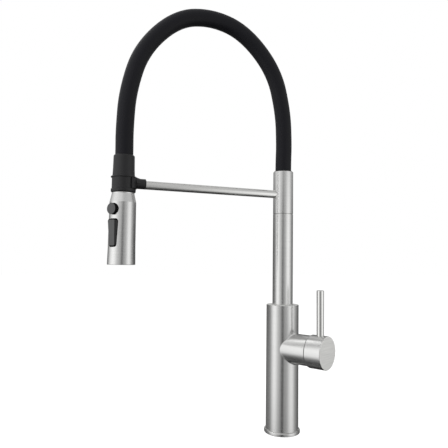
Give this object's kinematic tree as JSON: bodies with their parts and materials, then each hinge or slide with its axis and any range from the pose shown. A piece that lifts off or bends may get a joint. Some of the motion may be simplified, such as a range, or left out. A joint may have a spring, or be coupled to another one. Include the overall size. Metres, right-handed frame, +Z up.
{
  "type": "kitchen mixer tap",
  "caption": "Single-lever kitchen mixer tap with a tall swivelling riser, an arched black hose and a spray head that docks on a support bar.",
  "frame": {"origin": "centre of the base ring's underside, on the worktop", "axes": "+Z up along the body's axis, -X along the support bar towards the spray head"},
  "size_m": [0.3009, 0.097, 0.5783],
  "materials": {
    "brushed_stainless": "brushed stainless steel",
    "inner_steel": "plain turned steel",
    "brass": "machined brass",
    "copper": "drawn copper tube",
    "magnet": "nickel-plated magnet",
    "hose_rubber": "satin black silicone rubber",
    "inner_rubber": "black rubber",
    "nozzle_silicone": "grey silicone",
    "dock_plastic": "fine-textured black plastic",
    "button_plastic": "satin black plastic",
    "spray_plastic": "grey moulded plastic",
    "moulded_white": "moulded acetal",
    "ceramic": "lapped alumina ceramic"
  },
  "bodies": {
    "body": {"base_ring": "brushed_stainless", "base_gasket": "inner_rubber", "inlet_block": "brass", "body_shell": "brushed_stainless", "swivel_housing": "brass", "swivel_bush": "moulded_white", "thrust_washer": "moulded_white", "valve_block": "brass", "hot_tube": "copper", "cold_tube": "copper", "mixed_tube": "copper", "cartridge_base": "moulded_white", "cartridge_seals": "inner_rubber", "fixed_disc": "ceramic", "cartridge_case": "moulded_white", "cartridge_nut": "brass"},
    "carrier": {"spindle_carrier": "moulded_white", "stem_pin": "inner_steel"},
    "flow_disc": {"moving_disc": "ceramic", "disc_driver": "moulded_white"},
    "lever": {"stem": "inner_steel", "lever_hub": "brushed_stainless", "lever_rod": "brushed_stainless", "hub_grub_screw": "inner_steel", "hub_plug": "button_plastic"},
    "arm": {"riser_lower": "brushed_stainless", "riser_upper": "brushed_stainless", "riser_joiner": "brass", "swivel_spigot": "brass", "swivel_o_rings": "inner_rubber", "riser_clip": "inner_steel", "water_pipe": "moulded_white", "hose_tail": "brass", "hose_seat_ring": "dock_plastic", "support_bar": "brushed_stainless", "dock_saddle": "dock_plastic", "dock_magnet": "magnet", "hose_sleeve": "hose_rubber", "inner_hose": "inner_rubber"},
    "hose_end": {"hose_cuff": "dock_plastic", "dock_band": "inner_steel", "hose_connector": "brass", "crimp_ferrule": "inner_steel", "head_o_ring": "inner_rubber"},
    "spray_head": {"head_shell": "brushed_stainless", "head_core": "moulded_white", "check_valve": "moulded_white", "strainer": "moulded_white", "spray_plate": "spray_plastic", "nozzle_ring": "nozzle_silicone", "aerator": "spray_plastic", "rocker_pin": "inner_steel", "return_sleeve": "nozzle_silicone"},
    "pause_button": {"pause_button": "button_plastic"},
    "mode_rocker": {"mode_rocker": "button_plastic"},
    "diverter": {"diverter_spool": "moulded_white"}
  },
  "joints": [
    {"name": "spout_swivel", "type": "hinge", "parent": "body", "child": "arm", "pos_m": [0, 0, 0.16], "axis": [0, 0, 1], "continuous": true},
    {"name": "lever_turn", "type": "hinge", "parent": "body", "child": "carrier", "pos_m": [0.01654, -0.03085, 0.115], "axis": [0.4726, -0.8813, 0], "range_deg": [-45, 45]},
    {"name": "lever_tilt", "type": "hinge", "parent": "carrier", "child": "lever", "pos_m": [0.01654, -0.03085, 0.115], "axis": [0.8813, 0.4726, 0], "range_deg": [0, 22]},
    {"name": "disc_slide", "type": "slide", "parent": "carrier", "child": "flow_disc", "axis": [0, 0, 1], "range_m": [0, 0.00265]},
    {"name": "dock_slide", "type": "slide", "parent": "arm", "child": "hose_end", "axis": [-1, 0, 0], "range_m": [0, 0.08], "deforming": ["hose_sleeve", "inner_hose"]},
    {"name": "head_turn", "type": "hinge", "parent": "hose_end", "child": "spray_head", "pos_m": [-0.228, 0, 0.31], "axis": [0, 0, 1], "continuous": true},
    {"name": "button_press", "type": "slide", "parent": "spray_head", "child": "pause_button", "axis": [0.7986, 0.6018, 0], "range_m": [0, 0.002], "stiffness_N_per_m": 600, "springref_m": -0.002, "deforming": ["return_sleeve"]},
    {"name": "rocker_tilt", "type": "hinge", "parent": "spray_head", "child": "mode_rocker", "pos_m": [-0.23718, -0.00692, 0.267], "axis": [0.6018, -0.7986, 0], "range_deg": [-4, 4]},
    {"name": "spool_slide", "type": "slide", "parent": "spray_head", "child": "diverter", "axis": [-0.7986, -0.6018, 0], "range_m": [-0.0009, 0.0009]}
  ],
  "couplings": [
    {"joint": "disc_slide", "follows": "lever_tilt", "m_per_rad": 0.006829},
    {"joint": "spool_slide", "follows": "rocker_tilt", "m_per_rad": -0.012}
  ]
}
